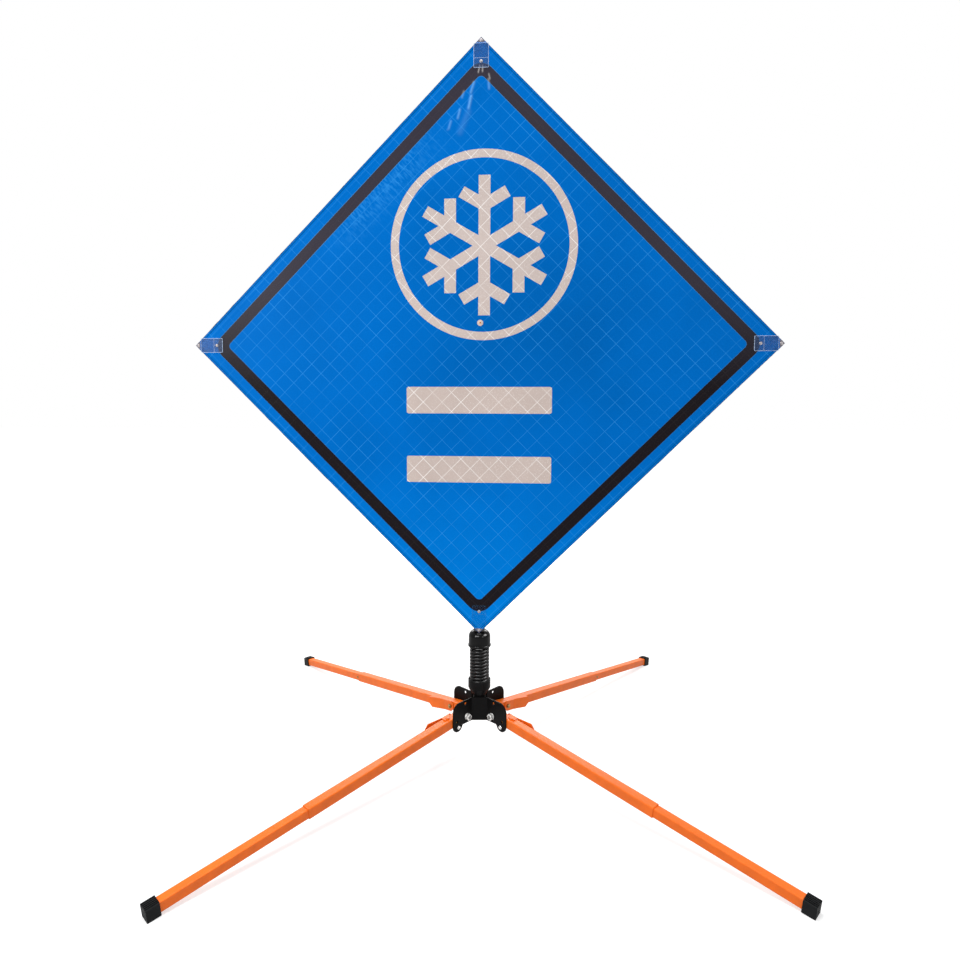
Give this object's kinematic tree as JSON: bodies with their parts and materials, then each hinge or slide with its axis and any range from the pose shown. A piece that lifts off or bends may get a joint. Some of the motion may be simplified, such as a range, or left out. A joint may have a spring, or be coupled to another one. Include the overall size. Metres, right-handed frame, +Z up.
{
  "type": "roll-up traffic sign",
  "caption": "Square reflective roll-up warning sign standing on its corner on crossed ribs, over a coil-spring mast and a folding telescopic leg stand.",
  "frame": {"origin": "on the ground under the middle of the stand's column", "axes": "+Z up along the mast, -Y towards the side that the sign faces, +X to the right as seen from there"},
  "size_m": [1.7122, 1.3628, 2.0924],
  "materials": {
    "black_powder_coat": "satin black powder coat",
    "black_spring_steel": "black coated spring wire",
    "zinc_plate": "bright zinc plate",
    "orange_powder_coat": "satin orange powder coat",
    "black_foot_rubber": "matt black moulding",
    "blue_retroreflective_sheet": "glossy retroreflective vinyl",
    "black_fibreglass": "pultruded fibreglass bar",
    "clear_polycarbonate": "clear polycarbonate",
    "grey_clip_steel": "grey moulded corner"
  },
  "bodies": {
    "stand": {"hub": "black_powder_coat", "front_bracket": "black_powder_coat", "rear_bracket": "black_powder_coat", "spring": "black_spring_steel", "front_left_stop_pin": "zinc_plate", "front_left_pivot_bolt": "zinc_plate", "front_left_pivot_nut": "zinc_plate", "front_right_stop_pin": "zinc_plate", "front_right_pivot_bolt": "zinc_plate", "front_right_pivot_nut": "zinc_plate", "rear_left_stop_pin": "zinc_plate", "rear_left_pivot_bolt": "zinc_plate", "rear_left_pivot_nut": "zinc_plate", "rear_right_stop_pin": "zinc_plate", "rear_right_pivot_bolt": "zinc_plate", "rear_right_pivot_nut": "zinc_plate"},
    "front_left_leg": {"front_left_outer_tube": "orange_powder_coat", "front_left_lever_pin": "zinc_plate"},
    "front_left_extension": {"front_left_inner_tube": "orange_powder_coat", "front_left_foot_cap": "black_foot_rubber"},
    "front_left_lever": {"front_left_lever": "orange_powder_coat"},
    "front_left_lock": {"front_left_lock_pin": "zinc_plate"},
    "front_left_button": {"front_left_snap_button": "zinc_plate"},
    "front_right_leg": {"front_right_outer_tube": "orange_powder_coat", "front_right_lever_pin": "zinc_plate"},
    "front_right_extension": {"front_right_inner_tube": "orange_powder_coat", "front_right_foot_cap": "black_foot_rubber"},
    "front_right_lever": {"front_right_lever": "orange_powder_coat"},
    "front_right_lock": {"front_right_lock_pin": "zinc_plate"},
    "front_right_button": {"front_right_snap_button": "zinc_plate"},
    "rear_left_leg": {"rear_left_outer_tube": "orange_powder_coat", "rear_left_lever_pin": "zinc_plate"},
    "rear_left_extension": {"rear_left_inner_tube": "orange_powder_coat", "rear_left_foot_cap": "black_foot_rubber"},
    "rear_left_lever": {"rear_left_lever": "orange_powder_coat"},
    "rear_left_lock": {"rear_left_lock_pin": "zinc_plate"},
    "rear_left_button": {"rear_left_snap_button": "zinc_plate"},
    "rear_right_leg": {"rear_right_outer_tube": "orange_powder_coat", "rear_right_lever_pin": "zinc_plate"},
    "rear_right_extension": {"rear_right_inner_tube": "orange_powder_coat", "rear_right_foot_cap": "black_foot_rubber"},
    "rear_right_lever": {"rear_right_lever": "orange_powder_coat"},
    "rear_right_lock": {"rear_right_lock_pin": "zinc_plate"},
    "rear_right_button": {"rear_right_snap_button": "zinc_plate"},
    "mast_head": {"upper_cap": "black_powder_coat", "rib_bracket": "black_powder_coat"},
    "clamp": {"clamp_screw": "zinc_plate"},
    "sign": {"sheet": "blue_retroreflective_sheet", "vertical_rib": "black_fibreglass", "keeper_rivet": "zinc_plate", "cross_rivet": "zinc_plate", "top_corner_plate": "clear_polycarbonate", "top_rib_clip": "grey_clip_steel", "right_corner_plate": "clear_polycarbonate", "right_rib_clip": "grey_clip_steel", "bottom_corner_plate": "clear_polycarbonate", "bottom_rib_clip": "grey_clip_steel", "left_corner_plate": "clear_polycarbonate", "left_rib_clip": "grey_clip_steel"},
    "cross_rib": {"horizontal_rib": "black_fibreglass"}
  },
  "joints": [
    {"name": "front_left_leg_fold", "type": "hinge", "parent": "stand", "child": "front_left_leg", "pos_m": [-0.04985, -0.02485, 0.12166], "axis": [-0.7071, 0.7071, 0], "range_deg": [0, 88.7]},
    {"name": "front_left_leg_slide", "type": "slide", "parent": "front_left_leg", "child": "front_left_extension", "axis": [0.7022, 0.7022, 0.1172], "range_m": [0, 0.345], "deforming": ["front_left_snap_button"]},
    {"name": "front_left_lever_press", "type": "hinge", "parent": "front_left_leg", "child": "front_left_lever", "pos_m": [-0.09621, -0.06697, 0.11428], "axis": [-0.0829, -0.0829, 0.9931], "range_deg": [0, 9.7], "stiffness_Nm_per_rad": 3, "springref_deg": -11.46},
    {"name": "front_left_lock_draw", "type": "slide", "parent": "front_left_leg", "child": "front_left_lock", "axis": [-0.7071, 0.7071, 0], "range_m": [0, 0.0049]},
    {"name": "front_left_button_press", "type": "slide", "parent": "front_left_extension", "child": "front_left_button", "axis": [0.7071, -0.7071, 0], "range_m": [0, 0.003], "stiffness_N_per_m": 400, "springref_m": -0.002},
    {"name": "front_right_leg_fold", "type": "hinge", "parent": "stand", "child": "front_right_leg", "pos_m": [0.04985, -0.02485, 0.12166], "axis": [-0.7071, -0.7071, 0], "range_deg": [0, 88.7]},
    {"name": "front_right_leg_slide", "type": "slide", "parent": "front_right_leg", "child": "front_right_extension", "axis": [-0.7022, 0.7022, 0.1172], "range_m": [0, 0.345], "deforming": ["front_right_snap_button"]},
    {"name": "front_right_lever_press", "type": "hinge", "parent": "front_right_leg", "child": "front_right_lever", "pos_m": [0.09621, -0.06697, 0.11428], "axis": [-0.0829, 0.0829, -0.9931], "range_deg": [0, 9.7], "stiffness_Nm_per_rad": 3, "springref_deg": -11.46},
    {"name": "front_right_lock_draw", "type": "slide", "parent": "front_right_leg", "child": "front_right_lock", "axis": [0.7071, 0.7071, 0], "range_m": [0, 0.0049]},
    {"name": "front_right_button_press", "type": "slide", "parent": "front_right_extension", "child": "front_right_button", "axis": [-0.7071, -0.7071, 0], "range_m": [0, 0.003], "stiffness_N_per_m": 400, "springref_m": -0.002},
    {"name": "rear_left_leg_fold", "type": "hinge", "parent": "stand", "child": "rear_left_leg", "pos_m": [-0.04985, 0.02485, 0.12166], "axis": [0.7071, 0.7071, 0], "range_deg": [0, 88.7]},
    {"name": "rear_left_leg_slide", "type": "slide", "parent": "rear_left_leg", "child": "rear_left_extension", "axis": [0.7022, -0.7022, 0.1172], "range_m": [0, 0.345], "deforming": ["rear_left_snap_button"]},
    {"name": "rear_left_lever_press", "type": "hinge", "parent": "rear_left_leg", "child": "rear_left_lever", "pos_m": [-0.09621, 0.06697, 0.11428], "axis": [0.0829, -0.0829, -0.9931], "range_deg": [0, 9.7], "stiffness_Nm_per_rad": 3, "springref_deg": -11.46},
    {"name": "rear_left_lock_draw", "type": "slide", "parent": "rear_left_leg", "child": "rear_left_lock", "axis": [-0.7071, -0.7071, 0], "range_m": [0, 0.0049]},
    {"name": "rear_left_button_press", "type": "slide", "parent": "rear_left_extension", "child": "rear_left_button", "axis": [0.7071, 0.7071, 0], "range_m": [0, 0.003], "stiffness_N_per_m": 400, "springref_m": -0.002},
    {"name": "rear_right_leg_fold", "type": "hinge", "parent": "stand", "child": "rear_right_leg", "pos_m": [0.04985, 0.02485, 0.12166], "axis": [0.7071, -0.7071, 0], "range_deg": [0, 88.7]},
    {"name": "rear_right_leg_slide", "type": "slide", "parent": "rear_right_leg", "child": "rear_right_extension", "axis": [-0.7022, -0.7022, 0.1172], "range_m": [0, 0.345], "deforming": ["rear_right_snap_button"]},
    {"name": "rear_right_lever_press", "type": "hinge", "parent": "rear_right_leg", "child": "rear_right_lever", "pos_m": [0.09621, 0.06697, 0.11428], "axis": [0.0829, 0.0829, 0.9931], "range_deg": [0, 9.7], "stiffness_Nm_per_rad": 3, "springref_deg": -11.46},
    {"name": "rear_right_lock_draw", "type": "slide", "parent": "rear_right_leg", "child": "rear_right_lock", "axis": [0.7071, -0.7071, 0], "range_m": [0, 0.0049]},
    {"name": "rear_right_button_press", "type": "slide", "parent": "rear_right_extension", "child": "rear_right_button", "axis": [-0.7071, 0.7071, 0], "range_m": [0, 0.003], "stiffness_N_per_m": 400, "springref_m": -0.002},
    {"name": "mast_tilt", "type": "hinge", "parent": "stand", "child": "mast_head", "pos_m": [0, 0, 0.26788], "axis": [0.996, -0.0889, 0], "range_deg": [-36, 36], "stiffness_Nm_per_rad": 120, "deforming": ["spring"]},
    {"name": "clamp_screw_turn", "type": "hinge", "parent": "mast_head", "child": "clamp", "pos_m": [0, 0, 0.4455], "axis": [0.0889, 0.996, 0], "range_deg": [0, 360]},
    {"name": "sign_lift", "type": "slide", "parent": "mast_head", "child": "sign", "axis": [0, 0, 1], "range_m": [0, 0.1]},
    {"name": "cross_rib_turn", "type": "hinge", "parent": "sign", "child": "cross_rib", "pos_m": [0, 0, 1.23289], "axis": [-0.0889, -0.996, 0], "range_deg": [0, 84]}
  ],
  "couplings": [
    {"joint": "front_left_lock_draw", "follows": "front_left_lever_press", "m_per_rad": 0.0285},
    {"joint": "front_right_lock_draw", "follows": "front_right_lever_press", "m_per_rad": 0.0285},
    {"joint": "rear_left_lock_draw", "follows": "rear_left_lever_press", "m_per_rad": 0.0285},
    {"joint": "rear_right_lock_draw", "follows": "rear_right_lever_press", "m_per_rad": 0.0285}
  ]
}
